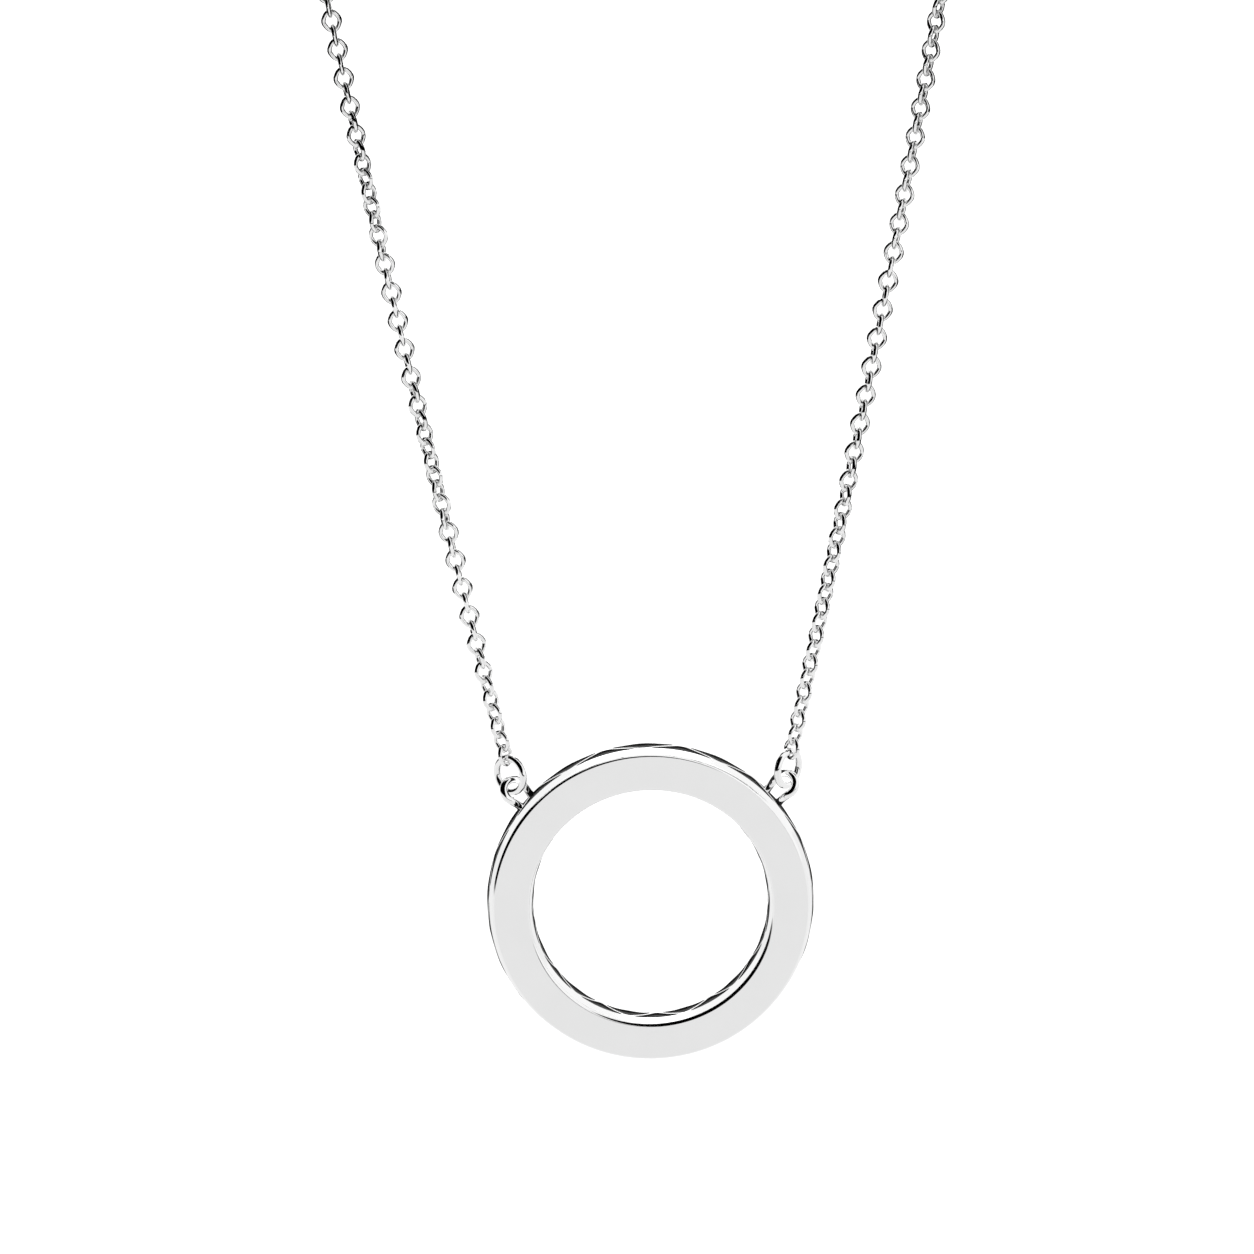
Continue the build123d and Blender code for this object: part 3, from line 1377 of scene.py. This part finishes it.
STRAND_FOOT = 6.4 * MM
STRAND_SLOPE = 0.205
FINS = [
    Fin("outer_fin", 7.0 * MM, 14.0 * MM, 43.0 * MM, -0.8 * MM, 5.0 * MM),
    Fin("inner_fin", -7.0 * MM, 15.0 * MM, 43.0 * MM, -0.8 * MM, 6.0 * MM),
    Fin("upper_outer_fin", 5.5 * MM, 43.0 * MM, 64.0 * MM, -3.0 * MM, 6.0 * MM),
    Fin("upper_inner_fin", -5.5 * MM, 43.0 * MM, 64.0 * MM, -3.0 * MM, 6.0 * MM),
]


@dataclass
class Studio:
    """A plain pale floor under a soft white surround, and the camera of the photograph."""

    face_centre: Vector
    azimuth: float = radians(-1.1)
    elevation: float = radians(15.4)
    roll: float = radians(1.35)
    lens: float = 400.0
    sensor: float = 36.0
    frame_pixels: float = 1254.0
    pixels_per_mm: float = 17.6
    ring_pixel: tuple[float, float] = (651.2, 907.6)
    floor_height: float = -0.50
    floor_size: float = 4.0
    floor_tone: float = 0.843
    side_tone: float = 0.915
    dark_start: float = 38.0
    dark_end: float = 190.0
    lens_distance: float = 1.2
    lens_radius: float = 0.13
    grey_reach: float = 75.0
    grey_edge: float = 50.0
    dark_limit: tuple[Heading, ...] = (
        Heading(38.0, 58.0), Heading(50.0, 42.0), Heading(60.0, 30.0), Heading(90.0, 17.0),
        Heading(120.0, 0.0), Heading(150.0, -35.0),
        Heading(165.0, -50.0), Heading(172.0, -38.0), Heading(190.0, -34.0),
    )

    def _camera(self) -> None:
        """Set up the camera so that the ring's face falls on its pixel."""
        back = Vector((
            sin(self.azimuth) * cos(self.elevation),
            -cos(self.azimuth) * cos(self.elevation),
            sin(self.elevation),
        ))
        level = Vector((cos(self.azimuth), sin(self.azimuth), 0))
        rise = back.cross(level)
        right = level * cos(self.roll) - rise * sin(self.roll)
        up = level * sin(self.roll) + rise * cos(self.roll)
        middle = self.frame_pixels / 2
        scale = MM / self.pixels_per_mm
        aim = self.face_centre - right * (self.ring_pixel[0] - middle) * scale
        aim += up * (self.ring_pixel[1] - middle) * scale
        distance = self.frame_pixels * scale * self.lens / self.sensor
        camera = bpy.data.cameras.new("photo_camera")
        camera.lens = self.lens
        camera.sensor_width = self.sensor
        camera.clip_start = 0.01
        camera.clip_end = 50
        obj = link_object("photo_camera", camera)
        place = Matrix((right, up, back)).transposed().to_4x4()
        place.translation = aim + back * distance
        obj.matrix_world = place
        bpy.context.scene.camera = obj

    def _surround(self) -> None:
        """Light the scene evenly from all round."""
        world = bpy.data.worlds.new("soft_surround")
        world.use_nodes = True
        world.node_tree.nodes.clear()
        tree = NodeTree(world.node_tree)
        glow = tree.add("ShaderNodeBackground", inputs={"Color": (1, 1, 1, 1), "Strength": 1.0})
        tree.result("ShaderNodeOutputWorld", {"Surface": glow})
        bpy.context.scene.world = world
        bpy.context.scene.view_settings.view_transform = "Standard"

    def _floor(self) -> None:
        """Lay the floor."""
        half = self.floor_size / 2
        mesh = bpy.data.meshes.new("floor")
        corners = [(-half, -half), (half, -half), (half, half), (-half, half)]
        mesh.from_pydata([(x, y, self.floor_height) for x, y in corners], [], [(0, 1, 2, 3)])
        mesh.materials.append(StudioPaint("floor_paint", 0.90).material())
        floor = link_object("floor", mesh)
        floor.visible_glossy = False

    def _back_light(self) -> None:
        """Lift the floor behind the necklace to white."""
        lamp = bpy.data.lights.new("back_light", "AREA")
        lamp.shape = "RECTANGLE"
        lamp.size = 1.6
        lamp.size_y = 1.2
        lamp.energy = 9.0
        obj = link_object("back_light", lamp)
        obj.location = (0, 1.4, 0.6)
        obj.visible_camera = False

    def _lens_disc(self) -> None:
        """Hang the dark disc that the lens shows as in the silver."""
        toward, height = cos(self.elevation), sin(self.elevation)
        middle = self.face_centre + self.lens_distance * Vector((0, -toward, height))
        rise = Vector((0, height, toward))
        points = [
            middle + self.lens_radius * (Vector((1, 0, 0)) * cos(turn) + rise * sin(turn))
            for turn in (FULL_TURN * step / 32 for step in range(32))
        ]
        tone_card("lens_disc", points, [tuple(range(32))], [0.0] * 32)

    def _dark_cover(self, heading: Heading) -> float:
        """Share of the unlit part of the room in a direction, above its slanting lower limit."""
        limit = self.dark_limit[-1].toward
        for before, after in zip(self.dark_limit, self.dark_limit[1:]):
            if before.around <= heading.around <= after.around:
                share = (heading.around - before.around) / (after.around - before.around)
                limit = before.toward + (after.toward - before.toward) * share
                break
        return (
            smooth_step(heading.around - self.dark_start, 14.0)
            * smooth_step(self.dark_end - heading.around, 4.0)
            * smooth_step(heading.toward - limit, 5.0)
        )

    def _room_tone(self, heading: Heading) -> float:
        """Tone above the horizon: white light but for the unlit part."""
        return 1.0 - self._dark_cover(heading)

    def _table_tone(self, heading: Heading) -> float:
        """Tone below the horizon: pale, and greyer in front where the ring's face looks."""
        toward, level = sin(radians(heading.toward)), cos(radians(heading.toward))
        height = degrees(asin(level * sin(radians(heading.around))))
        nearness = toward * cos(self.elevation) - level * sin(radians(heading.around)) * sin(self.elevation)
        grey = smooth_step(self.grey_reach - degrees(acos(max(-1.0, min(1.0, nearness)))), self.grey_edge)
        cover = smooth_step(height + 8.0, 3.0) * smooth_step(heading.toward - 45.0, 15.0)
        tone = self.side_tone + (self.floor_tone - self.side_tone) * grey
        return tone * (1 - cover) * self._room_tone(heading)

    def build(self) -> None:
        """Set up the studio."""
        self._camera()
        self._surround()
        self._floor()
        self._back_light()
        for name, start, end, tone in (
            ("dark_room", Heading(self.dark_start, -60.0), Heading(180.0, 90.0), self._room_tone),
            ("pale_table", Heading(180.0, -90.0), Heading(360.0, 90.0), self._table_tone),
        ):
            Dome(name, start, end, tone).build(self.face_centre)
        self._lens_disc()
        for fin in FINS:
            fin.build(self.face_centre.z)


# ---------------------------------------------------------------- necklace

@dataclass(frozen=True)
class Strand:
    """How one side of the necklace hangs in the photograph.

    Attributes:
        side: the side.
        lug_angle: where its lug stands on the ring, up from level.
        lug_reach: how far the lug reaches past the ring's face.
        near_foot: where the lug's near limb is soldered.
        far_foot: where its far limb is.
        jump_ring_turn: how far the jump ring is turned.
        turns: how far the links are turned along the strand.
        lower_corners: the route's corners next to the ring.
    """

    side: Side
    lug_angle: float
    lug_reach: float
    near_foot: Foot
    far_foot: Foot
    jump_ring_turn: float
    turns: list[Turn]
    lower_corners: list[Corner]


LEFT_STRAND = Strand(
    side=Side.LEFT,
    lug_angle=radians(42.5),
    lug_reach=2.17 * MM,
    near_foot=Foot(radians(38.4), 1.50 * MM),
    far_foot=Foot(radians(44.0), 1.50 * MM),
    jump_ring_turn=radians(-42.0),
    turns=LEFT_TURNS,
    lower_corners=LEFT_CORNERS,
)
RIGHT_STRAND = Strand(
    side=Side.RIGHT,
    lug_angle=radians(41.5),
    lug_reach=2.23 * MM,
    near_foot=Foot(radians(36.9), 1.50 * MM),
    far_foot=Foot(radians(43.1), 1.50 * MM),
    jump_ring_turn=radians(50.5),
    turns=RIGHT_TURNS,
    lower_corners=RIGHT_CORNERS,
)


@dataclass
class CircleNecklace:
    """The whole necklace, hung by the top of its loop."""

    clasp_height: float = 1.2 * MM
    loop_height: float = 199.4 * MM
    setback: float = 0.4 * MM
    jump_ring_play: float = 0.28 * MM

    def build(self) -> None:
        """Build the sub-assemblies from the clasp's frame down to the ring."""
        ring_height = self.clasp_height - self.loop_height
        hang = Vector((0, -self.setback, ring_height))
        face_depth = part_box("pendant_ring")[0][1]
        ring = OpenRing(centre=Vector((0, face_depth, ring_height)))
        Studio(face_centre=ring.centre).build()
        ring.build()
        for strand in (LEFT_STRAND, RIGHT_STRAND):
            lug = WireLug(
                strand.side, ring, hang, strand.lug_angle, strand.lug_reach,
                strand.near_foot, strand.far_foot,
            )
            lug.build()
            wires = (lug.wire + JumpRing.wire) / 2
            seat = lug.bend + Vector((0, 0, lug.half_width - wires - self.jump_ring_play))
            chain = Chain(strand.side, Vector(), ring_height, strand.turns, strand.lower_corners)
            first = chain.corners()[0]
            rise = Vector((first.x - seat.x, 0, first.z - seat.z)).normalized()
            jump_ring = JumpRing(strand.side, seat, rise, strand.jump_ring_turn, self.setback)
            jump_ring.build()
            chain.foot = jump_ring.chain_foot()
            chain.build()
        Clasp().build()


def main() -> None:
    """Build the necklace and its studio."""
    logging.basicConfig(level=logging.INFO, format="%(message)s")
    CircleNecklace().build()


if __name__ == "__main__":
    main()
